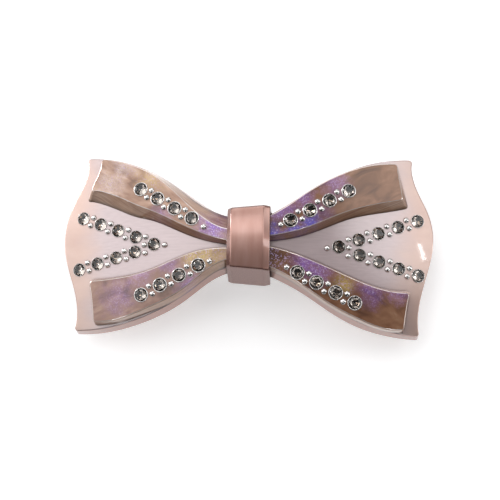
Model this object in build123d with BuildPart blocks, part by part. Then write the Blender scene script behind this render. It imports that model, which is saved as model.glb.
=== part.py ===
from build123d import *
import os
from math import cos, radians, sin, sqrt

# Rhinestone bow barrette, millimetres. X runs along the bow, Y across it and Z up from the table it
# lies on, through the spring clip under the bow to the bow's face. The bow is a patch of spherical
# shell: every layer of it, and the clip plate, shares one centre straight below the origin.

# Arch and layers, from the clip plate up
ARCH_RADIUS = 150.0          # the back of the bow
BACK_APEX = 13.0             # height of the middle of the bow's back above the table
BASE_THICKNESS = 3.0
TAIL_THICKNESS = 2.7
GLUE_THICKNESS = 0.4
PLATE_THICKNESS = 0.8
CENTRE_Z = BACK_APEX - ARCH_RADIUS
BASE_TOP = ARCH_RADIUS + BASE_THICKNESS
TAIL_TOP = BASE_TOP + TAIL_THICKNESS
PLATE_TOP = ARCH_RADIUS - GLUE_THICKNESS
PLATE_BACK = PLATE_TOP - PLATE_THICKNESS
CORE_RADIUS = 100.0          # inside every layer
PATCH_ANGLE = 25.0           # half angle of a shell patch about the Y direction
PATCH_TILT = 13.0            # half angle of a shell patch about the X direction
WALL_BOTTOM = 2.0            # lofted walls start and end clear of every layer
WALL_CLEAR = 0.2
WALL_TOP = CENTRE_Z + TAIL_TOP + WALL_CLEAR

# Edges
BASE_CORNER = 0.8
BASE_EDGE = 0.32
TAIL_CORNER = 0.9
TAIL_EDGE = 0.35
CORNER_LIMIT = 5.0           # upright corner edges are shorter than this
KNOT_LIMIT = 10.0            # and stand further out than this
ROOT_GAP = 0.15              # each tail ends this far from the bow's middle, under the knot
ROOT_LIMIT = 1.0             # edges nearer the middle than this belong to a tail's cut end

# Stones and pins
STONE_RADIUS = 1.55
TABLE_RADIUS = 0.85
CROWN_HEIGHT = 0.62
GIRDLE_TOP = 0.16
CULET_RADIUS = 0.62
SEAT_RADIUS = 1.53
SEAT_BORE = 0.6
SEAT_DEPTH = 1.1
SEAT_ANGLE = 90.0
PIN_HEAD_RADIUS = 0.75
PIN_HEAD_HEIGHT = 0.56
PIN_SHANK_RADIUS = 0.4
PIN_SHANK_LENGTH = 1.2
PIN_HOLE_DEPTH = 1.25
PIN_OFFSET = 1.03            # each pin of a pair stands this far from its row's line

# Knot
KNOT_FOOT = 11.6
KNOT_ROOT = 11.0             # its sections are drawn from here and cut off at the foot
KNOT_FOLD = 1.0              # radius of the long folds
KNOT_RIDGE = 0.6
KNOT_RIM = 0.3
KNOT_CLEARANCE = 0.02
KNOT_SECTIONS = [            # x, Y of front, front fold, back fold and back, Z of folds and of top
    (-4.1, -10.1, -7.2, 6.8, 7.8, 18.7, 19.8),
    (-3.1, -10.4, -7.3, 7.0, 8.1, 19.5, 20.7),
    (4.5, -11.0, -7.9, 7.7, 8.85, 19.5, 20.7),
    (6.1, -10.6, -8.1, 7.5, 8.6, 19.1, 19.8),
]
CAVITY_TAPER = 12.0
BASE_CAVITY = [(-5.0, -8.3), (-3.0, -7.6), (3.5, -7.6), (7.0, -9.0), (7.0, 8.0), (3.5, 5.9), (-3.0, 5.5),
               (-5.0, 6.4)]
TAIL_CAVITY = [(-5.0, -7.8), (7.0, -8.2), (7.0, 7.0), (-5.0, 5.3)]
KNOT_SLOT_LENGTH = 20.0      # the clip plate passes between the knot's lips
KNOT_SLOT_WIDTH = 9.2

# Clip
PLATE_LENGTH = 77.0
PLATE_WIDTH = 8.0
PLATE_CORNER = 2.0
GLUE_LENGTH = 58.0
GLUE_WIDTH = 7.0
SHEET = 0.8                  # thickness of the ears and of the arm
HINGE_X = -34.0
HINGE_Z = 2.0
EAR_RADIUS = 2.0
EAR_INSIDE = 3.2
HINGE_PIN_RADIUS = 0.6
HINGE_PIN_HEAD = 0.95
HINGE_PIN_HEAD_LENGTH = 0.35
KNUCKLE_RADIUS = 1.35
KNUCKLE_BORE = 0.65
ARM_APEX_Z = 4.9
ARM_END_X = 41.5
ARM_HALF_WIDTH = 3.0
ARM_RADIUS = 241.5
WINDOW_START_X = 32.5
WINDOW_END_X = 36.5
WINDOW_HALF_WIDTH = 2.75
RAIL = 1.0
ARM_CORNER = 0.9
BAR_APEX_Z = 10.35
BAR_THICKNESS = 0.5
BAR_END_X = 31.5
BAR_RADIUS = 224.6
BAR_HALF_WIDTH = 2.5
BAR_END_HALF_WIDTH = 2.3
STRIP_REACH = 60.0           # arm and bar are cut from arched strips longer than this each way
LIP_LENGTH = 3.0
LIP_INSIDE = 1.8
LIP_THICKNESS = 0.75
LIP_WALL = 0.6
CATCH_X = 34.5
CATCH_LENGTH = 4.6
CATCH_UNDERSIDE = 6.6
CATCH_HALF_WIDTH = 3.25
FLANGE_INSIDE = 2.68
FLANGE_FOOT = 5.4
PRONG_WIDTH = 3.2
PRONG_INSIDE = 2.1
PRONG_OUTSIDE = 2.6
PRONG_ROOT = 6.5
BARB_OUTSIDE = 3.05
BARB_TOP = 1.85
BARB_FOOT = 0.35
BARB_LAND = 0.25             # upright part of a barb under its flat top
PRONG_TIP = 0.1              # how far a prong's tip is cut back
RIVET_RADIUS = 0.8
RIVET_HEAD_RADIUS = 1.2
RIVET_HEAD_HEIGHT = 0.5
RIVET_HEAD_EDGE = 0.4

# Outlines, anticlockwise seen from above. Each is a list of runs, a run ends where the next begins,
# and each point is (x, y, lean): the wall's foot, and how far its top leans in from there.
BASE_OUTLINE = [
    [(41.7, -22.2, 1.2), (41.5, -16.5, 0.9), (43.5, -7.1, 0.9), (45.1, 0.6, 0.9), (44.0, 8.2, 0.9),
     (40.9, 14.9, 0.9), (40.2, 18.3, 0.9)],
    [(40.4, 22.2, 1.2), (34.0, 21.8, 0.9), (24.8, 18.9, 0.9), (15.6, 13.4, 0.9), (9.0, 9.0, 0.9)],
    [(3.5, 5.6, 0.8)],
    [(-3.0, 5.2, 0.8), (-9.4, 8.4, 0.9), (-16.5, 13.5, 0.9), (-23.3, 18.0, 0.9), (-31.0, 21.0, 0.9)],
    [(-40.6, 22.2, 1.2), (-40.4, 16.8, 0.9), (-43.2, 9.9, 0.9), (-45.1, 2.0, 0.9), (-44.2, -5.2, 0.9),
     (-41.6, -13.2, 0.9), (-41.2, -17.5, 0.9)],
    [(-41.8, -21.9, 1.2), (-33.0, -21.7, 0.9), (-23.7, -19.2, 0.9), (-14.5, -14.5, 0.9),
     (-7.4, -9.1, 0.9)],
    [(-3.0, -7.4, 0.8)],
    [(3.5, -7.4, 0.8), (7.5, -9.0, 0.9), (14.3, -12.6, 0.9), (20.4, -16.6, 0.9), (26.7, -19.8, 0.9),
     (34.0, -21.7, 0.9)],
]
TAIL_OUTLINES = {
    "tail_upper_left": [
        [(3.0, 4.6, 2.8), (-4.5, 4.9, 2.9), (-9.2, 7.4, 2.6), (-16.2, 12.6, 1.5), (-23.3, 17.2, 0.8),
         (-29.5, 19.6, 0.6)],
        [(-36.4, 21.0, 1.0), (-36.9, 17.6, 1.1), (-37.9, 14.0, 1.4)],
        [(-39.1, 9.8, 2.8), (-35.0, 8.5, 2.5), (-30.5, 7.7, 2.5), (-24.1, 5.6, 1.8), (-17.8, 2.8, 1.5),
         (-11.6, 0.2, 1.2), (-4.5, -1.4, 0.6)],
        [(3.0, -1.7, 0.6)],
    ],
    "tail_lower_left": [
        [(3.0, -2.3, 0.4), (-4.3, -2.1, 0.4), (-10.2, -2.5, 0.6), (-16.5, -4.6, 0.6),
         (-23.7, -7.5, 0.6), (-30.0, -8.8, 0.6)],
        [(-37.9, -9.2, 1.1), (-37.2, -14.0, 1.0), (-36.9, -17.5, 1.0)],
        [(-36.2, -20.4, 1.1), (-30.0, -19.9, 0.6), (-23.6, -18.0, 0.8), (-14.0, -13.4, 1.0),
         (-7.0, -8.1, 1.2)],
        [(3.0, -6.0, 1.2)],
    ],
    "tail_upper_right": [
        [(-3.0, -1.0, 0.6), (6.0, -0.4, 0.7), (12.7, 0.8, 1.1), (21.5, 4.3, 1.3), (28.0, 7.0, 1.4),
         (33.5, 8.2, 1.6)],
        [(39.0, 9.2, 2.4), (37.2, 15.0, 1.4)],
        [(36.2, 20.1, 1.0), (29.0, 19.1, 0.6), (22.0, 16.5, 0.6), (13.6, 11.3, 0.6), (5.7, 5.9, 0.6)],
        [(-3.0, 4.4, 0.6)],
    ],
    "tail_lower_right": [
        [(-3.0, -6.2, 0.6), (7.0, -8.0, 0.5), (14.0, -11.8, 0.4), (20.0, -15.7, 0.4),
         (26.6, -18.9, 0.4), (32.0, -20.6, 0.4)],
        [(37.8, -21.1, 1.0), (38.6, -16.3, 1.0)],
        [(39.5, -10.9, 1.2), (31.0, -10.4, 0.6), (24.1, -7.9, 0.6), (15.2, -4.3, 0.6),
         (7.3, -1.9, 0.5)],
        [(-3.0, -1.6, 0.5)],
    ],
}

# Rows of set stones, each (outer stone, inner stone, stone count), with pairs of pins between them,
# then single stones and single pins
SETTINGS = {
    "v_left": {
        "surface": BASE_TOP,
        "rows": [((-40.4, 6.0), (-26.7, 0.8), 4), ((-40.8, -6.8), (-26.8, -2.9), 4)],
        "stones": [(-22.1, -1.1)],
        "pins": [(-24.2, 0.8), (-24.5, -1.2), (-24.2, -3.2), (-19.4, -1.3)],
    },
    "v_right": {
        "surface": BASE_TOP,
        "rows": [((41.2, 6.1), (27.0, 0.6), 4), ((41.3, -7.3), (27.2, -3.1), 4)],
        "stones": [(22.3, -1.3)],
        "pins": [(24.5, 0.6), (24.7, -1.4), (24.5, -3.4), (19.5, -1.7)],
    },
    "tail_upper_left": {
        "surface": TAIL_TOP,
        "rows": [((-25.6, 12.1), (-12.7, 4.5), 4)],
        "stones": [],
        "pins": [(-9.8, 2.4)],
    },
    "tail_lower_left": {
        "surface": TAIL_TOP,
        "rows": [((-24.4, -13.8), (-10.8, -6.9), 4)],
        "stones": [],
        "pins": [(-8.1, -5.9)],
    },
    "tail_upper_right": {
        "surface": TAIL_TOP,
        "rows": [((24.5, 12.0), (10.8, 4.2), 4)],
        "stones": [],
        "pins": [(8.5, 3.1)],
    },
    "tail_lower_right": {
        "surface": TAIL_TOP,
        "rows": [((26.1, -15.0), (12.6, -8.3), 4)],
        "stones": [],
        "pins": [(10.1, -7.1)],
    },
}


def finish(part, name):
    """Label a finished piece and write its file."""
    part.label = name
    export_step(part, f"parts/{name}.step")


def shell(inner, outer):
    """A patch of spherical shell, wider than the bow, about the centre of the arch."""
    tilt = radians(PATCH_ANGLE)
    start = Plane(origin=(0, 0, CENTRE_Z), x_dir=(0, 1, 0), z_dir=(cos(tilt), 0, sin(tilt)))
    with BuildPart() as patch:
        with BuildSketch(start):
            with BuildLine():
                top = CenterArc((0, 0), outer, 90 - PATCH_TILT, 2 * PATCH_TILT)
                bottom = CenterArc((0, 0), inner, 90 - PATCH_TILT, 2 * PATCH_TILT)
                Line(top @ 0, bottom @ 0)
                Line(top @ 1, bottom @ 1)
            make_face()
        revolve(axis=Axis((0, 0, CENTRE_Z), (0, 1, 0)), revolution_arc=2 * PATCH_ANGLE)
    return patch.part


def on_sphere(x, y, radius):
    """The point of a layer's surface above (x, y), measured from the centre of the arch."""
    return Vector(x, y, sqrt(radius**2 - x**2 - y**2))


def tangent_plane(x, y, radius):
    """The plane that touches a layer's surface above (x, y), with its normal out of the face."""
    outwards = on_sphere(x, y, radius)
    origin = outwards + Vector(0, 0, CENTRE_Z)
    return Plane(origin=origin, x_dir=(outwards.Z, 0, -x), z_dir=outwards)


def runs_at(outline, foot_radius, crest_radius, level):
    """An outline's runs at the height where its leaning walls pass the given level."""
    loop = [point for run in outline for point in run]
    placed = []
    for index, (x, y, lean) in enumerate(loop):
        before = loop[index - 1]
        after = loop[(index + 1) % len(loop)]
        arriving = Vector(x - before[0], y - before[1]).normalized()
        leaving = Vector(after[0] - x, after[1] - y).normalized()
        inwards = (arriving + leaving).normalized().rotate(Axis.Z, 90)
        top = (Vector(x, y) + inwards * lean) * (crest_radius / foot_radius)
        foot = on_sphere(x, y, foot_radius)
        crest = on_sphere(top.X, top.Y, crest_radius)
        share = (level - CENTRE_Z - foot.Z) / (crest.Z - foot.Z)
        at_level = foot + (crest - foot) * share
        placed.append((at_level.X, at_level.Y))
    runs = []
    start = 0
    for run in outline:
        end = start + len(run)
        runs.append(placed[start:end] + [placed[end % len(placed)]])
        start = end
    return runs


def walls(outline, foot_radius, crest_radius):
    """A tall block whose sides are an outline's leaning walls."""
    with BuildPart() as block:
        for level in (WALL_BOTTOM, WALL_TOP):
            with BuildSketch(Plane.XY.offset(level)):
                with BuildLine():
                    for points in runs_at(outline, foot_radius, crest_radius, level):
                        if len(points) == 2:
                            Line(*points)
                        else:
                            Spline(*points)
                make_face()
        loft(ruled=True)
    return block.part


def is_end_corner(edge):
    """Whether an edge is one of a wing's upright corners, not one of its long edges or a root."""
    return edge.length < CORNER_LIMIT and abs(edge.center().X) > KNOT_LIMIT


def face_edges(builder):
    """The edges round a layer's outer face."""
    return builder.faces().filter_by(GeomType.SPHERE).sort_by(Axis.Z)[-1].edges()


def section_edges(builder):
    """The knot's edges above its root, grouped along X by the sections they belong to."""
    return builder.edges().filter_by(lambda edge: edge.center().Z > KNOT_FOOT).group_by(Axis.X)


def row_points(first, last, count):
    """Evenly spaced points of a row of stones."""
    start = Vector(*first)
    step = (Vector(*last) - start) / (count - 1)
    return [start + step * index for index in range(count)]


def stone_points(setting):
    """Where a setting's stones sit."""
    points = [Vector(*point) for point in setting["stones"]]
    for first, last, count in setting["rows"]:
        points += row_points(first, last, count)
    return points


def pin_points(setting):
    """Where a setting's pins stand: a pair beside each gap of a row, then the single ones."""
    points = [Vector(*point) for point in setting["pins"]]
    for first, last, count in setting["rows"]:
        stones = row_points(first, last, count)
        aside = (stones[1] - stones[0]).normalized().rotate(Axis.Z, 90) * PIN_OFFSET
        for here, beyond in zip(stones, stones[1:]):
            middle = (here + beyond) / 2
            points += [middle + aside, middle - aside]
    return points


def places(points, surface):
    """Locations on a layer's surface, for stones or pins."""
    return [Location(tangent_plane(point.X, point.Y, surface)) for point in points]


def drill_settings(names):
    """Cut the stone seats and the pin holes of the named settings in the part being built."""
    for name in names:
        setting = SETTINGS[name]
        with Locations(*places(stone_points(setting), setting["surface"])):
            CounterSinkHole(SEAT_BORE, SEAT_RADIUS, SEAT_DEPTH, SEAT_ANGLE)
        with Locations(*places(pin_points(setting), setting["surface"])):
            Hole(PIN_SHANK_RADIUS, PIN_HOLE_DEPTH)


def knot_profile(x, front, front_fold, back_fold, back, fold, top):
    """The knot's cross-section at x: leaning front and back, folds and an arched top."""
    with BuildSketch(Plane.YZ.offset(x)) as profile:
        with BuildLine():
            Polyline((front_fold, fold), (front, KNOT_ROOT), (back, KNOT_ROOT), (back_fold, fold))
            ThreePointArc((back_fold, fold), ((front_fold + back_fold) / 2, top), (front_fold, fold))
        make_face()
        fillet(profile.vertices().group_by(Axis.Z)[-1], KNOT_FOLD)
    return profile.sketch


def cavity(outline, inner, outer):
    """Room inside the knot for one layer of the waist, with sides that lean in."""
    with BuildPart() as room:
        with BuildSketch(Plane.XY.offset(CENTRE_Z + inner - KNOT_RIDGE)):
            Polygon(*outline, align=None)
        extrude(amount=BACK_APEX / 2, taper=CAVITY_TAPER)
        add(shell(inner - KNOT_CLEARANCE, outer + KNOT_CLEARANCE), mode=Mode.INTERSECT)
    return room.part


def arched_strip(apex, radius, thickness, half_width):
    """A wide strip of sheet arched along X, its middle surface topping out at the apex height."""
    with BuildPart() as strip:
        with BuildSketch(Plane.XZ.offset(-half_width)):
            with Locations((0, apex - radius)):
                Circle(radius + thickness / 2)
                Circle(radius - thickness / 2, mode=Mode.SUBTRACT)
            with Locations((0, apex)):
                Rectangle(2 * STRIP_REACH, STRIP_REACH, mode=Mode.INTERSECT)
        extrude(amount=2 * half_width)
    return strip.part


os.makedirs("parts", exist_ok=True)

# Bow base: one arched plate, both wings and the waist, with seats for the two V settings
with BuildPart() as bow_base:
    add(walls(BASE_OUTLINE, ARCH_RADIUS, BASE_TOP))
    add(shell(ARCH_RADIUS, BASE_TOP), mode=Mode.INTERSECT)
    fillet(bow_base.edges().filter_by(is_end_corner), BASE_CORNER)
    fillet(face_edges(bow_base), BASE_EDGE)
    drill_settings(["v_left", "v_right"])
finish(bow_base.part, "bow_base")

# Four raised tails on the base, each with its own row of stones
for name, outline in TAIL_OUTLINES.items():
    root_x = ROOT_GAP if name.endswith("right") else -ROOT_GAP
    with BuildPart() as tail:
        add(walls(outline, BASE_TOP, TAIL_TOP))
        add(shell(BASE_TOP, TAIL_TOP), mode=Mode.INTERSECT)
        split(bisect_by=Plane.YZ.offset(root_x), keep=Keep.TOP if root_x > 0 else Keep.BOTTOM)
        fillet(tail.edges().filter_by(is_end_corner), TAIL_CORNER)
        fillet(face_edges(tail).filter_by(lambda edge: abs(edge.center().X) > ROOT_LIMIT), TAIL_EDGE)
        drill_settings([name])
    finish(tail.part, name)

# Knot: a band round the waist, flared to one side, with lips under the bow's back
with BuildPart() as knot_band:
    for section in KNOT_SECTIONS:
        add(knot_profile(*section))
    loft(ruled=True)
    # groups alternate between a section and the stretch after it: the middle two sections are ridges
    fillet(section_edges(knot_band)[2] + section_edges(knot_band)[-3], KNOT_RIDGE)
    fillet(section_edges(knot_band)[0] + section_edges(knot_band)[-1], KNOT_RIM)
    split(bisect_by=Plane.XY.offset(KNOT_FOOT), keep=Keep.TOP)
    add(cavity(BASE_CAVITY, ARCH_RADIUS, BASE_TOP), mode=Mode.SUBTRACT)
    add(cavity(TAIL_CAVITY, BASE_TOP, TAIL_TOP), mode=Mode.SUBTRACT)
    with BuildSketch(Plane.XY.offset(KNOT_FOOT)):
        Rectangle(KNOT_SLOT_LENGTH, KNOT_SLOT_WIDTH)
    extrude(amount=BACK_APEX - KNOT_FOOT, mode=Mode.SUBTRACT)
finish(knot_band.part, "knot_band")

# One stone and one pin, each standing on its own seat, copied to every place
with BuildPart() as stone:
    with BuildSketch(Plane.XZ):
        with BuildLine():
            Polyline(
                (0, CROWN_HEIGHT),
                (TABLE_RADIUS, CROWN_HEIGHT),
                (STONE_RADIUS, GIRDLE_TOP),
                (STONE_RADIUS, STONE_RADIUS - SEAT_RADIUS),
                (CULET_RADIUS, CULET_RADIUS - SEAT_RADIUS),
                (0, CULET_RADIUS - SEAT_RADIUS),
                close=True,
            )
        make_face()
    revolve(axis=Axis.Z)
with BuildPart() as pin:
    with BuildSketch(Plane.XZ):
        with BuildLine():
            cap = (PIN_HEAD_RADIUS**2 + PIN_HEAD_HEIGHT**2) / (2 * PIN_HEAD_HEIGHT)
            dome = RadiusArc((0, PIN_HEAD_HEIGHT), (PIN_HEAD_RADIUS, 0), cap)
            Polyline(
                dome @ 1,
                (PIN_SHANK_RADIUS, 0),
                (PIN_SHANK_RADIUS, -PIN_SHANK_LENGTH),
                (0, -PIN_SHANK_LENGTH),
                dome @ 0,
            )
        make_face()
    revolve(axis=Axis.Z)
for name, setting in SETTINGS.items():
    with BuildPart() as stones:
        with Locations(*places(stone_points(setting), setting["surface"])):
            add(stone.part)
    finish(stones.part, f"stones_{name}")
    with BuildPart() as pins:
        with Locations(*places(pin_points(setting), setting["surface"])):
            add(pin.part)
    finish(pins.part, f"pins_{name}")

# Glue bed between the clip plate and the bow's back
with BuildPart() as glue_bed:
    with BuildSketch():
        RectangleRounded(GLUE_LENGTH, GLUE_WIDTH, PLATE_CORNER)
    extrude(amount=BACK_APEX)
    add(shell(PLATE_TOP, ARCH_RADIUS), mode=Mode.INTERSECT)
finish(glue_bed.part, "glue_bed")

# Clip plate: arched sheet with two hinge ears and four lips that hold the tension bar's ends
with BuildPart() as hangers:
    with BuildSketch(Plane.XZ.offset(-EAR_INSIDE - SHEET)):
        with Locations((HINGE_X, HINGE_Z)):
            Circle(EAR_RADIUS)
            Rectangle(2 * EAR_RADIUS, BACK_APEX, align=(Align.CENTER, Align.MIN))
            Circle(HINGE_PIN_RADIUS, mode=Mode.SUBTRACT)
    extrude(amount=SHEET)
    bar_underside = BAR_APEX_Z - BAR_THICKNESS / 2 - (BAR_RADIUS - sqrt(BAR_RADIUS**2 - BAR_END_X**2))
    for x in (-BAR_END_X, BAR_END_X - LIP_LENGTH):
        with BuildSketch(Plane.YZ.offset(x)):
            with Locations((PLATE_WIDTH / 2, bar_underside)):
                Rectangle(PLATE_WIDTH / 2 - LIP_INSIDE, LIP_THICKNESS, align=Align.MAX)
                Rectangle(LIP_WALL, BACK_APEX / 2, align=(Align.MAX, Align.MIN))
        extrude(amount=LIP_LENGTH)
    add(shell(CORE_RADIUS, PLATE_TOP - PLATE_THICKNESS / 2), mode=Mode.INTERSECT)
    mirror(about=Plane.XZ)
with BuildPart() as clip_plate:
    with BuildSketch():
        RectangleRounded(PLATE_LENGTH, PLATE_WIDTH, PLATE_CORNER)
    extrude(amount=BACK_APEX)
    add(shell(PLATE_BACK, PLATE_TOP), mode=Mode.INTERSECT)
    add(hangers.part)
    with Locations((CATCH_X, 0, BACK_APEX)):
        Hole(RIVET_RADIUS, BACK_APEX)
finish(clip_plate.part, "clip_plate")

# Catch: a foot riveted under the plate, with flanges outside the two spring prongs
with BuildPart() as catch_bracket:
    with BuildSketch(Plane.XY.offset(CATCH_UNDERSIDE)):
        with Locations((CATCH_X, 0)):
            Rectangle(CATCH_LENGTH, 2 * CATCH_HALF_WIDTH)
    extrude(amount=BACK_APEX - CATCH_UNDERSIDE)
    add(shell(CORE_RADIUS, PLATE_BACK), mode=Mode.INTERSECT)
    flange = CATCH_HALF_WIDTH - FLANGE_INSIDE
    with BuildSketch(Plane.XY.offset(CATCH_UNDERSIDE)):
        with Locations((CATCH_X, FLANGE_INSIDE + flange / 2), (CATCH_X, -FLANGE_INSIDE - flange / 2)):
            Rectangle(CATCH_LENGTH, flange)
    extrude(amount=FLANGE_FOOT - CATCH_UNDERSIDE)
    with Locations((CATCH_X, 0, BACK_APEX)):
        Hole(RIVET_RADIUS, BACK_APEX)
finish(catch_bracket.part, "catch_bracket")

with BuildPart() as catch_rivet:
    with BuildSketch(Plane.XY.offset(CATCH_UNDERSIDE)):
        with Locations((CATCH_X, 0)):
            Circle(RIVET_RADIUS)
    extrude(amount=BACK_APEX - CATCH_UNDERSIDE)
    with BuildSketch(Plane.XY.offset(CATCH_UNDERSIDE)):
        with Locations((CATCH_X, 0)):
            Circle(RIVET_HEAD_RADIUS)
    extrude(amount=-RIVET_HEAD_HEIGHT)
    fillet(catch_rivet.edges().sort_by(Axis.Z)[0], RIVET_HEAD_EDGE)
    add(shell(CORE_RADIUS, PLATE_TOP), mode=Mode.INTERSECT)
finish(catch_rivet.part, "catch_rivet")

# Two spring prongs with outward barbs, one each side of the bow's middle line
for name, side in (("catch_prong_back", 1), ("catch_prong_front", -1)):
    with BuildPart() as prong:
        with BuildSketch(Plane.YZ.offset(CATCH_X - PRONG_WIDTH / 2)):
            Polygon(
                (side * PRONG_INSIDE, PRONG_ROOT),
                (side * PRONG_INSIDE, 0),
                (side * (PRONG_OUTSIDE - PRONG_TIP), 0),
                (side * PRONG_OUTSIDE, BARB_FOOT),
                (side * BARB_OUTSIDE, BARB_TOP - BARB_LAND),
                (side * BARB_OUTSIDE, BARB_TOP),
                (side * PRONG_OUTSIDE, BARB_TOP),
                (side * PRONG_OUTSIDE, PRONG_ROOT),
                align=None,
            )
        extrude(amount=PRONG_WIDTH)
    finish(prong.part, name)

# Hinge pin, riveted over at both ends outside the plate's ears
with BuildPart() as hinge_pin:
    ear_outside = EAR_INSIDE + SHEET
    with BuildSketch(Plane.XZ.offset(-ear_outside)):
        with Locations((HINGE_X, HINGE_Z)):
            Circle(HINGE_PIN_RADIUS)
    extrude(amount=2 * ear_outside)
    for y in (-ear_outside - HINGE_PIN_HEAD_LENGTH, ear_outside):
        with BuildSketch(Plane.XZ.offset(-y - HINGE_PIN_HEAD_LENGTH)):
            with Locations((HINGE_X, HINGE_Z)):
                Circle(HINGE_PIN_HEAD)
        extrude(amount=HINGE_PIN_HEAD_LENGTH)
finish(hinge_pin.part, "hinge_pin")

# Swing arm: arched strip from a rolled knuckle on the pin to a window that latches on the prongs
with BuildPart() as swing_arm:
    frame_start = WINDOW_START_X - RAIL
    frame_end = WINDOW_END_X + RAIL
    with BuildSketch() as arm_plan:
        with Locations((HINGE_X, 0)):
            Rectangle(ARM_END_X - HINGE_X, 2 * ARM_HALF_WIDTH, align=(Align.MIN, Align.CENTER))
        with Locations(((frame_start + frame_end) / 2, 0)):
            Rectangle(frame_end - frame_start, 2 * (WINDOW_HALF_WIDTH + RAIL))
        fillet(arm_plan.vertices().group_by(Axis.X)[-1], ARM_CORNER)
        with Locations(((WINDOW_START_X + WINDOW_END_X) / 2, 0)):
            Rectangle(WINDOW_END_X - WINDOW_START_X, 2 * WINDOW_HALF_WIDTH, mode=Mode.SUBTRACT)
    extrude(amount=BACK_APEX)
    add(arched_strip(ARM_APEX_Z, ARM_RADIUS, SHEET, PLATE_WIDTH), mode=Mode.INTERSECT)
    with BuildSketch(Plane.XZ.offset(-ARM_HALF_WIDTH)):
        with Locations((HINGE_X, HINGE_Z)):
            Circle(KNUCKLE_RADIUS)
    extrude(amount=2 * ARM_HALF_WIDTH)
    with BuildSketch(Plane.XZ.offset(-ARM_HALF_WIDTH)):
        with Locations((HINGE_X, HINGE_Z)):
            Circle(KNUCKLE_BORE)
    extrude(amount=2 * ARM_HALF_WIDTH, mode=Mode.SUBTRACT)
finish(swing_arm.part, "swing_arm")

# Tension bar: a flatter spring strip between plate and arm, its ends resting on the plate's lips
with BuildPart() as tension_bar:
    with BuildSketch():
        Polygon(
            (-BAR_END_X, -BAR_END_HALF_WIDTH),
            (0, -BAR_HALF_WIDTH),
            (BAR_END_X, -BAR_END_HALF_WIDTH),
            (BAR_END_X, BAR_END_HALF_WIDTH),
            (0, BAR_HALF_WIDTH),
            (-BAR_END_X, BAR_END_HALF_WIDTH),
        )
    extrude(amount=BACK_APEX)
    add(arched_strip(BAR_APEX_Z, BAR_RADIUS, BAR_THICKNESS, PLATE_WIDTH), mode=Mode.INTERSECT)
finish(tension_bar.part, "tension_bar")
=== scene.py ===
import math
import random

import bpy
from mathutils import Matrix, Vector


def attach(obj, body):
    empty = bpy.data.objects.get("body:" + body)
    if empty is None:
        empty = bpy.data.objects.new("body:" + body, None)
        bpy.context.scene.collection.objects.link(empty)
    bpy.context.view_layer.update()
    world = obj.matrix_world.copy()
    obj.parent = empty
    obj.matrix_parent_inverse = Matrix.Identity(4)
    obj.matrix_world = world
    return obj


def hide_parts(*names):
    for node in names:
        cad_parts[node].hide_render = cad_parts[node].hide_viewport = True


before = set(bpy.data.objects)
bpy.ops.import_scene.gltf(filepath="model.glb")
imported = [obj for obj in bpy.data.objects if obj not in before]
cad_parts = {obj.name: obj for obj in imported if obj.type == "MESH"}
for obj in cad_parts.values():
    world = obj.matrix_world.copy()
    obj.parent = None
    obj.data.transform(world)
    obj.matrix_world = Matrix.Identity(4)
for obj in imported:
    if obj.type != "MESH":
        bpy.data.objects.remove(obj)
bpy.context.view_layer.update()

MM = 0.001
SETTINGS = [
    "v_left", "v_right",
    "tail_upper_left", "tail_lower_left", "tail_upper_right", "tail_lower_right",
]

# The bow is a patch of sphere: its layers share a centre this far below the table
ARCH_CENTRE = Vector((0, 0, -137 * MM))
TAIL_FOOT = 153.0            # millimetres from that centre to the face that the tails stand on

# Stones: radii and heights above the surface they are set in
STONE_RADIUS = 1.53 * MM
TABLE_RADIUS = 0.86 * MM
STAR_RADIUS = 1.17 * MM
CROWN_HEIGHT = 0.62 * MM
STAR_HEIGHT = 0.44 * MM
GIRDLE_TOP = 0.12 * MM
GIRDLE_FOOT = 0.04 * MM
PAVILION_DEPTH = 0.80 * MM
FOIL_GAP = 0.012 * MM
RIM_INSIDE = 1.50 * MM
RIM_OUTSIDE = 1.78 * MM
FINE_RIM_OUTSIDE = 1.66 * MM
RIM_HEIGHT = 0.20 * MM
PIN_RADIUS = 0.72 * MM
PIN_HEIGHT = 0.56 * MM
PIN_SHANK = 0.3 * MM
RIM_STEPS = 40
PIN_STEPS = 24

# Camera: where it stands, what it looks at and its roll about that line
CAMERA_PLACE = Vector((20.35, -60.67, 289.24)) * MM
CAMERA_TARGET = Vector((1.242, -2.595, 16.0)) * MM
CAMERA_UP = Vector((-0.01001, 0.97796, 0.20857))
CAMERA_LENS = 84.78
CAMERA_SENSOR = 36.0
CAMERA_NEAR = 0.01
CAMERA_FAR = 10.0

# Studio: brightness up the sky and a darker side behind the camera, then soft boxes, each as
# (direction, full and outer half angle in degrees, level). The first six are broad; the last five
# are small and bright, and show as sparkles in facets and domes.
SKY_LEVELS = [
    (0.0, (0.07, 0.07, 0.07, 1)),
    (0.35, (0.13, 0.13, 0.13, 1)),
    (0.8, (0.20, 0.20, 0.205, 1)),
]
SKY_DARK_SIDE = (-0.55, 0.15, 0.35)
SKY_BOXES = [
    ((-0.52, 0.25, 0.82), 18.0, 33.0, 1.5),
    ((0.55, 0.36, 0.75), 13.0, 22.0, 1.9),
    ((-0.10, 0.90, 0.42), 10.0, 26.0, 1.6),
    ((-0.10, 0.46, 0.88), 7.0, 16.0, 1.5),
    ((-0.94, 0.20, 0.24), 6.0, 16.0, 4.0),
    ((0.96, 0.08, 0.22), 5.0, 13.0, 3.0),
    ((-0.36, -0.62, 0.70), 2.0, 3.6, 12.0),
    ((0.42, -0.58, 0.70), 2.0, 3.6, 12.0),
    ((0.30, 0.82, 0.48), 2.0, 3.6, 12.0),
    ((-0.84, -0.32, 0.43), 2.0, 3.6, 12.0),
    ((0.82, -0.36, 0.44), 2.0, 3.6, 12.0),
]
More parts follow.
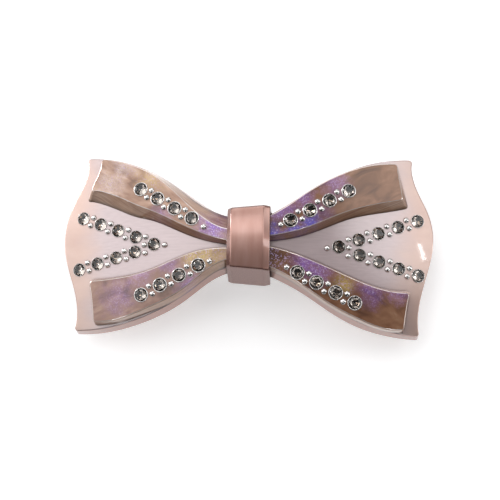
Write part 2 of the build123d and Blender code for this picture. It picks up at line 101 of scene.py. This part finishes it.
# Area lights: (name, place, width, height, watts). The accents are low, at the sides, for rounded
# edges, domes and facets; the window strip is the narrow streak reflected in the right wing.
ACCENTS = [
    ("accent_left", (-0.55, 0.30, 0.22), 0.10, 0.30, 1.2),
    ("accent_right", (0.60, 0.10, 0.26), 0.06, 0.40, 0.3),
    ("window_strip", (0.474, 0.142, 0.600), 0.046, 0.008, 0.016),
]
LIGHT_TARGET = (0, 0, 0.014)
FLOOR_HALF = 1.5
FLOOR_GLOW = 0.46


def tint(red, green, blue):
    """A display colour, 0 to 255, as the linear colour that shaders use."""
    def channel(value):
        share = value / 255
        return share / 12.92 if share <= 0.04045 else ((share + 0.055) / 1.055) ** 2.4
    return (channel(red), channel(green), channel(blue), 1.0)


class Graph:
    """A material's or a world's nodes, made and joined in one call each."""

    def __init__(self, owner, shader, coordinates, unit):
        owner.use_nodes = True
        self.owner = owner
        self.tree = owner.node_tree
        self.shader = self.tree.nodes[shader]
        source = self.tree.nodes.new("ShaderNodeTexCoord")
        self.place = self.scaled(source.outputs[coordinates], (1 / unit,) * 3)

    def put(self, socket, value):
        """Join an output to a socket, or set the socket's own value."""
        if isinstance(value, bpy.types.NodeSocket):
            self.tree.links.new(value, socket)
        elif value is not None:
            socket.default_value = value

    def set(self, **values):
        """Set the shader's sockets, by name with spaces as underscores."""
        for name, value in values.items():
            self.put(self.shader.inputs[name.replace("_", " ")], value)

    def scaled(self, vector, scale):
        """Coordinates scaled along each axis."""
        node = self.tree.nodes.new("ShaderNodeMapping")
        self.put(node.inputs["Vector"], vector)
        node.inputs["Scale"].default_value = scale
        return node.outputs["Vector"]

    def along(self, turn, stretch, across=1.0):
        """Millimetre coordinates turned about Z, then stretched so that a pattern runs along X."""
        node = self.tree.nodes.new("ShaderNodeVectorRotate")
        node.rotation_type = "Z_AXIS"
        self.put(node.inputs["Vector"], self.place)
        node.inputs["Angle"].default_value = -turn
        return self.scaled(node.outputs["Vector"], (1 / stretch, 1 / across, 1 / across))

    def noise(self, vector, scale, detail=3.0, roughness=0.55, distortion=0.0):
        node = self.tree.nodes.new("ShaderNodeTexNoise")
        self.put(node.inputs["Vector"], vector)
        node.inputs["Scale"].default_value = scale
        node.inputs["Detail"].default_value = detail
        node.inputs["Roughness"].default_value = roughness
        node.inputs["Distortion"].default_value = distortion
        return node.outputs["Fac"]

    def cells(self, vector, scale, output="Color"):
        node = self.tree.nodes.new("ShaderNodeTexVoronoi")
        self.put(node.inputs["Vector"], vector)
        node.inputs["Scale"].default_value = scale
        return node.outputs[output]

    def part(self, vector, axis):
        """One component of a vector."""
        node = self.tree.nodes.new("ShaderNodeSeparateXYZ")
        self.put(node.inputs[0], vector)
        return node.outputs[axis]

    def sum(self, operation, first, second=None, third=None):
        """A Math node."""
        node = self.tree.nodes.new("ShaderNodeMath")
        node.operation = operation
        for socket, value in zip(node.inputs, (first, second, third)):
            self.put(socket, value)
        return node.outputs[0]

    def dot(self, vector, other):
        """Dot product."""
        node = self.tree.nodes.new("ShaderNodeVectorMath")
        node.operation = "DOT_PRODUCT"
        self.put(node.inputs[0], vector)
        self.put(node.inputs[1], other)
        return node.outputs["Value"]

    def length(self, vector, centre=(0, 0, 0)):
        """Distance from a centre."""
        node = self.tree.nodes.new("ShaderNodeVectorMath")
        node.operation = "DISTANCE"
        self.put(node.inputs[0], vector)
        node.inputs[1].default_value = centre
        return node.outputs["Value"]

    def step(self, value, low, high, first=0.0, last=1.0):
        """A smooth step of a value between two limits."""
        node = self.tree.nodes.new("ShaderNodeMapRange")
        node.interpolation_type = "SMOOTHSTEP"
        self.put(node.inputs["Value"], value)
        node.inputs["From Min"].default_value = low
        node.inputs["From Max"].default_value = high
        node.inputs["To Min"].default_value = first
        node.inputs["To Max"].default_value = last
        return node.outputs["Result"]

    def ramp(self, value, stops):
        """Colours along a value: a list of (position, colour)."""
        node = self.tree.nodes.new("ShaderNodeValToRGB")
        self.put(node.inputs["Fac"], value)
        elements = node.color_ramp.elements
        while len(elements) < len(stops):
            elements.new(0.5)
        for element, (position, colour) in zip(elements, stops):
            element.position = position
            element.color = colour
        return node.outputs["Color"]

    def mix(self, share, first, second, blend="MIX"):
        """Two colours mixed."""
        node = self.tree.nodes.new("ShaderNodeMix")
        node.data_type = "RGBA"
        node.blend_type = blend
        self.put(node.inputs["Factor"], share)
        first_colour, second_colour = [socket for socket in node.inputs if socket.type == "RGBA"]
        self.put(first_colour, first)
        self.put(second_colour, second)
        return [socket for socket in node.outputs if socket.type == "RGBA"][0]

    def rise(self):
        """How far the surface faces away from the arch's centre: 1 on a face, 0 on a side wall."""
        geometry = self.tree.nodes.new("ShaderNodeNewGeometry")
        node = self.tree.nodes.new("ShaderNodeVectorMath")
        node.operation = "SUBTRACT"
        self.put(node.inputs[0], self.place)
        node.inputs[1].default_value = ARCH_CENTRE / MM
        outwards = self.tree.nodes.new("ShaderNodeVectorMath")
        outwards.operation = "NORMALIZE"
        self.put(outwards.inputs[0], node.outputs[0])
        return self.dot(outwards.outputs[0], geometry.outputs["Normal"])

    def open_air(self, reach):
        """How open a point is to the air around it: 0 in a crevice, 1 clear of everything."""
        node = self.tree.nodes.new("ShaderNodeAmbientOcclusion")
        node.samples = 8
        node.inputs["Distance"].default_value = reach
        return node.outputs["AO"]

    def bump(self, height, strength, distance):
        node = self.tree.nodes.new("ShaderNodeBump")
        self.put(node.inputs["Height"], height)
        node.inputs["Strength"].default_value = strength
        node.inputs["Distance"].default_value = distance
        self.put(self.shader.inputs["Normal"], node.outputs["Normal"])


def surface(name):
    """A new material's graph, with coordinates in millimetres."""
    return Graph(bpy.data.materials.new(name), "Principled BSDF", "Object", MM)


def pearl_base():
    """Champagne pearl: pink at the wings' ends, silver-lilac with a fine grain inside the V; the
    silver-lilac is a painted sheen, and crevices get painted shade.
    """
    g = surface("pearl_base")
    across = g.sum("ABSOLUTE", g.part(g.place, "X"))
    swirl = g.noise(g.along(0.0, 3.0), 0.16, 4.0)
    end = g.step(g.sum("ADD", across, g.sum("MULTIPLY", swirl, 8.0)), 37.0, 46.0)
    grain = g.noise(g.along(0.0, 24.0), 2.4, 2.0, 0.5)
    # Inside the V the pearl is painted silver-lilac: a painted sheen, over a fine grain that is the
    # material's own.
    silver_sheen_and_grain = g.ramp(grain, [(0.3, tint(184, 167, 168)), (0.7, tint(192, 175, 176))])
    blush = g.ramp(swirl, [(0.3, tint(188, 157, 145)), (0.7, tint(200, 171, 159))])
    face = g.mix(end, silver_sheen_and_grain, blush)
    # Painted shade: the pearl is painted darker in crevices beside the pieces that stand on it.
    crevice = g.step(g.open_air(1.1 * MM), 0.45, 0.85, 1.0, 0.0)
    side = g.step(g.rise(), 0.5, 0.9, 1.0, 0.0)
    face = g.mix(side, face, tint(158, 112, 98))
    g.set(Base_Color=g.mix(crevice, face, tint(96, 70, 60)), Metallic=0.5)
    g.set(Coat_Weight=0.8, Coat_Roughness=0.05, Coat_IOR=1.8)
    g.set(Roughness=g.step(grain, 0.3, 0.7, 0.28, 0.33))
    g.bump(g.sum("ADD", grain, g.sum("MULTIPLY", swirl, 4.0)), 0.03, 0.02 * MM)
    return g.owner


def smoky_acetate(name, turn, ground, blooms_and_painted_shade):
    """Smoky laminated acetate: a marbled ground along the tail, patches of iridescence, glitter and painted
    shade, painted highlights on the crests and painted shade low on the walls.
    """
    g = surface(name)
    streaks = g.noise(g.along(turn, 3.0, 1.3), 0.36, 3.5, 0.52, 0.9)
    colour = g.ramp(streaks, ground)
    flakes = g.cells(g.place, 5.0)
    glitter = g.part(flakes, "X")
    for centre, radius, shade, strength in blooms_and_painted_shade:
        distance = g.length(g.scaled(g.place, (1, 1, 0)), (*centre, 0))
        wander = g.sum("MULTIPLY", g.noise(g.place, 0.5, 3.0), radius * 1.1)
        near = g.step(g.sum("ADD", distance, wander), radius * 0.5, radius * 1.6, strength, 0.0)
        speckled = g.sum("MULTIPLY", near, g.step(glitter, 0.0, 0.8, 0.5, 1.0))
        spark = g.mix(g.step(glitter, 0.80, 0.86, 0.0, 0.75), shade, tint(212, 188, 238))
        colour = g.mix(speckled, colour, spark)
    height = g.sum("SUBTRACT", g.length(g.place, ARCH_CENTRE / MM), TAIL_FOOT)
    layers = g.noise(g.scaled(g.along(turn, 9.0), (1, 1, 5)), 0.8, 3.0)
    wall_shades = [(0.35, tint(142, 102, 76)), (0.5, tint(164, 124, 96)), (0.65, tint(184, 148, 120))]
    wall = g.ramp(layers, wall_shades)
    # Painted shade: each wall is painted darker towards its foot and in crevices.
    foot = g.step(height, 0.0, 0.9, 0.85, 0.0)
    wall = g.mix(foot, wall, tint(48, 30, 24))
    wall = g.mix(g.step(g.open_air(0.6 * MM), 0.35, 0.7, 0.6, 0.0), wall, tint(52, 34, 28))
    rise = g.rise()
    side = g.step(rise, 0.8, 0.9, 0.7, 0.0)
    # Painted highlight: the rounded crest edges are painted near-white; they are also made more metallic
    # and glossier.
    ridge_highlight = g.sum("MULTIPLY", g.step(rise, 0.84, 0.9), g.step(rise, 0.95, 0.988, 1.0, 0.0))
    colour = g.mix(ridge_highlight, g.mix(side, colour, wall), tint(250, 240, 236))
    g.set(Base_Color=colour, Metallic=g.step(ridge_highlight, 0.0, 1.0, 0.25, 0.5))
    g.set(Roughness=g.step(ridge_highlight, 0.0, 1.0, 0.3, 0.14))
    g.set(Coat_Weight=1.0, Coat_Roughness=0.03, Coat_IOR=1.45)
    g.bump(streaks, 0.1, 0.04 * MM)
    return g.owner


def rose_pearl():
    """The knot's warm rose pearl, streaked round the band, with painted shade on the band's sides."""
    g = surface("rose_pearl")
    streaks = g.noise(g.along(math.pi / 2, 6.0), 0.4, 3.0, 0.5)
    rose = g.ramp(streaks, [(0.3, tint(174, 128, 115)), (0.7, tint(192, 150, 138))])
    # Painted shade: the band's sides, where it turns down, are painted darker than its top.
    g.set(Base_Color=g.mix(g.step(g.rise(), 0.80, 0.96, 1.0, 0.0), rose, tint(120, 84, 76)))
    g.set(Metallic=0.6, Roughness=0.26, Coat_Weight=0.8, Coat_Roughness=0.06, Coat_IOR=1.6)
    g.bump(streaks, 0.08, 0.02 * MM)
    return g.owner


def smoky_crystal():
    """Clear smoky glass with an uneven tint."""
    g = surface("smoky_crystal")
    smoke = g.noise(g.place, 0.9, 2.0)
    g.set(Base_Color=g.ramp(smoke, [(0.3, tint(196, 186, 180)), (0.7, tint(232, 222, 212))]))
    g.set(Transmission_Weight=1.0, Roughness=0.0, IOR=1.6, Specular_IOR_Level=0.2)
    return g.owner


def dark_foil():
    """The mirror foil behind a stone, a little uneven."""
    g = surface("dark_foil")
    tone = g.part(g.cells(g.place, 1.9), "X")
    shades = [
        (0.2, tint(18, 13, 11)),
        (0.6, tint(62, 51, 46)),
        (0.68, tint(96, 82, 74)),
        (0.74, tint(250, 240, 228)),
    ]
    g.set(Base_Color=g.ramp(tone, shades))
    g.set(Metallic=1.0, Roughness=0.06)
    return g.owner


def metal(name, dark, light, roughness, turn, stretch, scale, depth):
    """Worked metal with a fine grain along one direction."""
    g = surface(name)
    grain = g.noise(g.along(turn, stretch), scale, 4.0, 0.7)
    g.set(Base_Color=g.ramp(grain, [(0.3, dark), (0.7, light)]), Metallic=1.0)
    g.set(Roughness=g.step(grain, 0.3, 0.7, roughness * 0.7, roughness * 1.3))
    g.bump(grain, 0.2, depth)
    return g.owner


def clear_glue():
    """Cured glue with small bubbles."""
    g = surface("clear_glue")
    bubbles = g.cells(g.place, 1.6, "Distance")
    g.set(Base_Color=g.ramp(bubbles, [(0.1, tint(236, 232, 220)), (0.6, tint(214, 206, 188))]))
    g.set(Roughness=0.35, Subsurface_Weight=0.3, Subsurface_Radius=(0.001, 0.001, 0.0008))
    g.bump(bubbles, 0.2, 0.0001)
    return g.owner


def islands(node):
    """The solids of a CAD node, each as a list of its vertices' places."""
    mesh = node.data
    owner = list(range(len(mesh.vertices)))

    def root(index):
        while owner[index] != index:
            owner[index] = owner[owner[index]]
            index = owner[index]
        return index

    first_at = {}
    for vertex in mesh.vertices:
        key = tuple(round(value * 1e6) for value in vertex.co)
        owner[root(vertex.index)] = root(first_at.setdefault(key, vertex.index))
    for edge in mesh.edges:
        owner[root(edge.vertices[0])] = root(edge.vertices[1])
    groups = {}
    for vertex in mesh.vertices:
        groups.setdefault(root(vertex.index), []).append(vertex.co.copy())
    return list(groups.values())


def seats(node, proud):
    """Where each solid of a node is set: a frame with Z out of the surface that its top stands proud of."""
    frames = []
    for points in islands(node):
        middle = sum(points, Vector()) / len(points)
        out = (middle - ARCH_CENTRE).normalized()
        top = max((point - ARCH_CENTRE).dot(out) for point in points)
        across = Vector((0, 1, 0)).cross(out).normalized()
        turn = Matrix((across, out.cross(across), out)).transposed().to_4x4()
        frames.append(Matrix.Translation(ARCH_CENTRE + out * (top - proud)) @ turn)
    return sorted(frames, key=lambda place: (round(place.translation.x, 6), round(place.translation.y, 6)))


def ring(radius, height, count, offset=0.0):
    """Points round a circle."""
    angles = [math.tau * (index + offset) / count for index in range(count)]
    return [Vector((radius * math.cos(angle), radius * math.sin(angle), height)) for angle in angles]


def stone_mesh():
    """A round brilliant: table, stars, kites and girdle facets, and a pointed pavilion."""
    points = ring(TABLE_RADIUS, CROWN_HEIGHT, 8) + ring(STAR_RADIUS, STAR_HEIGHT, 8, 0.5)
    points += ring(STONE_RADIUS, GIRDLE_TOP, 16) + ring(STONE_RADIUS, GIRDLE_FOOT, 16)
    points += [Vector((0, 0, -PAVILION_DEPTH))]
    table, star, upper, lower, culet = 0, 8, 16, 32, 48
    faces = [tuple(range(8))]
    for index in range(8):
        after = (index + 1) % 8
        before = (index - 1) % 8
        side = 2 * index
        faces.append((table + after, table + index, star + index))
        faces.append((table + index, star + before, upper + side, star + index))
        faces.append((star + index, upper + side, upper + side + 1))
        faces.append((star + index, upper + side + 1, upper + (side + 2) % 16))
        faces.append((lower + side, lower + (side + 15) % 16, culet, lower + side + 1))
    for index in range(16):
        after = (index + 1) % 16
        faces.append((upper + index, lower + index, lower + after, upper + after))
    return points, faces


def foil_mesh():
    """The mirror under a stone's pavilion, facing up."""
    points = ring(STONE_RADIUS, GIRDLE_FOOT - FOIL_GAP, 16)
    points += [Vector((0, 0, -PAVILION_DEPTH - FOIL_GAP))]
    faces = [(2 * index, 2 * index + 1, 16, (2 * index + 15) % 16) for index in range(8)]
    return points, faces


def turned(profile, count):
    """A profile of (radius, height) points turned about Z; a point on the axis closes it."""
    points = []
    starts = []
    for radius, height in profile:
        starts.append(len(points))
        points += [Vector((0, 0, height))] if radius == 0 else ring(radius, height, count)
    faces = []
    for row, (here, beyond) in enumerate(zip(profile, profile[1:])):
        a, b = starts[row], starts[row + 1]
        for index in range(count):
            after = (index + 1) % count
            if here[0] == 0:
                faces.append((a, b + index, b + after))
            elif beyond[0] == 0:
                faces.append((a + index, b, a + after))
            else:
                faces.append((a + index, b + index, b + after, a + after))
    return points, faces


def dome_profile(radius, height, foot, count=7):
    """A domed head from its crown down to a short shank."""
    angles = [math.pi / 2 * index / count for index in range(count + 1)]
    dome = [(radius * math.sin(angle), height * math.cos(angle)) for angle in angles]
    return dome + [(radius * 0.6, -foot)]


def bead_profile(inside, outside, height, count=8):
    """A half-round bead that runs round a stone."""
    middle = (inside + outside) / 2
    half = (outside - inside) / 2
    angles = [math.pi * index / count for index in range(count + 1)]
    return [(middle - half * math.cos(angle), height * math.sin(angle)) for angle in angles]


def set_on(name, shape, places, material, smooth, seed=None):
    """One piece holding a copy of a shape at each place, turned at random about its own axis if seeded."""
    shape_points, shape_faces = shape
    points = []
    faces = []
    chance = random.Random(seed)
    for place in places:
        spin = Matrix.Rotation(chance.uniform(0, math.tau) if seed is not None else 0.0, 4, "Z")
        first = len(points)
        points += [place @ spin @ point for point in shape_points]
        faces += [tuple(first + index for index in face) for face in shape_faces]
    mesh = bpy.data.meshes.new(name)
    mesh.from_pydata(points, [], faces)
    mesh.validate()
    mesh.update()
    mesh.polygons.foreach_set("use_smooth", [smooth] * len(mesh.polygons))
    mesh.materials.append(material)
    piece = bpy.data.objects.new(name, mesh)
    bpy.context.scene.collection.objects.link(piece)
    return piece


def dress(node_name, material):
    """Give a CAD node a material."""
    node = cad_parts[node_name]
    node.data.materials.clear()
    node.data.materials.append(material)


def softbox(name, place, width, height, power):
    """A rectangular studio light that faces the bow."""
    light = bpy.data.lights.new(name, "AREA")
    light.shape = "RECTANGLE"
    light.size = width
    light.size_y = height
    light.energy = power
    lamp = bpy.data.objects.new(name, light)
    lamp.location = place
    lamp.rotation_mode = "QUATERNION"
    lamp.rotation_quaternion = (Vector(LIGHT_TARGET) - Vector(place)).to_track_quat("-Z", "Y")
    bpy.context.scene.collection.objects.link(lamp)


# Materials of the bow
dress("bow_base", pearl_base())
dress("knot_band", rose_pearl())

VIOLET = tint(140, 98, 186)
LILAC = tint(176, 132, 200)
BLUE = tint(76, 88, 216)
GOLD = tint(214, 186, 112)
PALE = tint(236, 218, 210)
# Painted shadow: the colour of the knot's shadow on the lower right tail
PAINTED_KNOT_SHADOW = tint(66, 38, 26)

# Each tail: the angle it runs at in degrees, the four browns of its marbling from dark to light, and
# its patches of colour, with one painted shadow, each as (centre in millimetres, radius, colour, strength)
TAIL_LOOKS = {
    "upper_left": (-28, [(118, 82, 64), (152, 114, 92), (176, 140, 118), (206, 176, 156)], [
        ((-7.0, 2.6), 6.5, VIOLET, 1.0),
        ((-20.5, 4.5), 4.5, LILAC, 0.45),
        ((-23.4, 14.4), 5.5, GOLD, 0.4),
        ((-33.5, 13.6), 5.5, PALE, 0.45),
        ((-30.0, 18.6), 4.5, PALE, 0.5),
    ]),
    "lower_left": (24, [(104, 72, 58), (136, 100, 86), (156, 120, 104), (178, 146, 130)], [
        ((-12.0, -3.9), 5.5, GOLD, 0.75),
        ((-7.0, -5.0), 5.5, GOLD, 0.45),
        ((-18.0, -6.0), 4.5, VIOLET, 0.5),
        ((-12.6, -12.0), 4.5, VIOLET, 0.6),
        ((-30.1, -14.2), 6.0, VIOLET, 0.35),
        ((-24.8, -8.3), 4.5, LILAC, 0.5),
    ]),
    "upper_right": (28, [(94, 58, 36), (122, 82, 54), (142, 100, 72), (162, 124, 98)], [
        ((8.3, 6.6), 4.5, VIOLET, 0.75),
        ((13.5, 9.6), 4.5, VIOLET, 0.7),
        ((21.3, 13.6), 5.0, LILAC, 0.6),
        ((18.2, 6.5), 4.5, VIOLET, 0.3),
        ((7.3, 0.4), 3.4, BLUE, 1.0),
        ((12.4, 2.0), 3.6, BLUE, 0.9),
        ((15.6, 4.0), 3.4, BLUE, 0.8),
    ]),
    "lower_right": (-26, [(90, 54, 34), (122, 80, 54), (144, 102, 74), (166, 126, 98)], [
        ((14.2, -5.2), 4.2, VIOLET, 0.9),
        ((18.0, -7.4), 5.0, VIOLET, 0.8),
        ((23.3, -10.8), 3.6, GOLD, 0.8),
        ((30.2, -11.4), 5.5, VIOLET, 0.6),
        ((36.6, -12.0), 4.0, LILAC, 0.5),
        # A painted shadow of the knot, darkening the tail beside it
        ((5.0, -5.0), 8.0, PAINTED_KNOT_SHADOW, 1.0),
    ]),
}
MARBLE_STOPS = (0.3, 0.45, 0.6, 0.75)
for corner, (angle, browns, patches) in TAIL_LOOKS.items():
    ground = [(stop, tint(*brown)) for stop, brown in zip(MARBLE_STOPS, browns)]
    acetate = smoky_acetate(f"acetate_{corner}", math.radians(angle), ground, patches)
    dress(f"tail_{corner}", acetate)

# Stones and pins, made again with real facets and finer domes
crystal = smoky_crystal()
foil = dark_foil()
silver = metal("polished_silver", tint(206, 202, 200), tint(240, 238, 236), 0.12, 0.0, 1.0, 1.2, 0.000005)
for number, name in enumerate(SETTINGS):
    stone_places = seats(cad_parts[f"stones_{name}"], CROWN_HEIGHT)
    stones = set_on(f"crystals_{name}", stone_mesh(), stone_places, crystal, False, number)
    backs = set_on(f"foils_{name}", foil_mesh(), stone_places, foil, False, number)
    rim_outside = RIM_OUTSIDE if name.startswith("tail") else FINE_RIM_OUTSIDE
    rims = set_on(f"rims_{name}", turned(bead_profile(RIM_INSIDE, rim_outside, RIM_HEIGHT), RIM_STEPS),
                  stone_places, silver, True)
    pin_places = seats(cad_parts[f"pins_{name}"], PIN_HEIGHT)
    pins = set_on(f"domes_{name}", turned(dome_profile(PIN_RADIUS, PIN_HEIGHT, PIN_SHANK), PIN_STEPS),
                  pin_places, silver, True)
    for piece, slot in ((stones, "smoky_crystal"), (backs, "silver"), (rims, "silver"), (pins, "silver")):
        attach(piece, "bow")
    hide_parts(f"stones_{name}")
    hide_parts(f"pins_{name}")

# Clip hardware
nickel = metal("nickel_steel", tint(176, 175, 173), tint(212, 211, 208), 0.24, 0.0, 30.0, 4.0, 0.000004)
spring = metal("spring_steel", tint(140, 142, 147), tint(182, 184, 188), 0.26, 0.0, 30.0, 4.0, 0.000004)
for name in ("clip_plate", "catch_bracket", "catch_rivet", "hinge_pin", "swing_arm"):
    dress(name, nickel)
for name in ("catch_prong_front", "catch_prong_back", "tension_bar"):
    dress(name, spring)
dress("glue_bed", clear_glue())

# Floor, light and camera
mesh = bpy.data.meshes.new("floor")
corners = [(-1, -1), (1, -1), (1, 1), (-1, 1)]
mesh.from_pydata([(x * FLOOR_HALF, y * FLOOR_HALF, 0) for x, y in corners], [], [(0, 1, 2, 3)])
floor_graph = surface("floor_paper")
paper = floor_graph.noise(floor_graph.place, 0.05, 3.0)
whites = [(0.3, (0.84, 0.84, 0.845, 1)), (0.7, (0.87, 0.87, 0.875, 1))]
floor_graph.set(Base_Color=floor_graph.ramp(paper, whites))
floor_graph.set(Roughness=0.9, Emission_Color=(1, 1, 1, 1), Emission_Strength=FLOOR_GLOW)
mesh.materials.append(floor_graph.owner)
floor = bpy.data.objects.new("floor", mesh)
bpy.context.scene.collection.objects.link(floor)

sky = Graph(bpy.data.worlds.new("studio"), "Background", "Generated", 1.0)
level = sky.ramp(sky.part(sky.place, "Z"), SKY_LEVELS)
level = sky.mix(1.0, level, sky.step(sky.part(sky.place, "Y"), *SKY_DARK_SIDE, 1.0), "MULTIPLY")
for direction, inner, outer, strength in SKY_BOXES:
    facing = sky.dot(sky.place, Vector(direction).normalized())
    glow = sky.step(facing, math.cos(math.radians(outer)), math.cos(math.radians(inner)), 0.0, strength)
    level = sky.mix(1.0, level, glow, "ADD")
sky.set(Color=level)
bpy.context.scene.world = sky.owner
for name, place, width, height, power in ACCENTS:
    softbox(name, place, width, height, power)
bpy.context.scene.view_settings.view_transform = "Standard"

camera_data = bpy.data.cameras.new("camera")
camera_data.lens = CAMERA_LENS
camera_data.sensor_width = CAMERA_SENSOR
camera_data.clip_start = CAMERA_NEAR
camera_data.clip_end = CAMERA_FAR
camera = bpy.data.objects.new("camera", camera_data)
back = (CAMERA_PLACE - CAMERA_TARGET).normalized()
right = CAMERA_UP.cross(back).normalized()
camera.matrix_world = Matrix.Translation(CAMERA_PLACE) @ Matrix(
    (right, back.cross(right), back)).transposed().to_4x4()
bpy.context.scene.collection.objects.link(camera)
bpy.context.scene.camera = camera
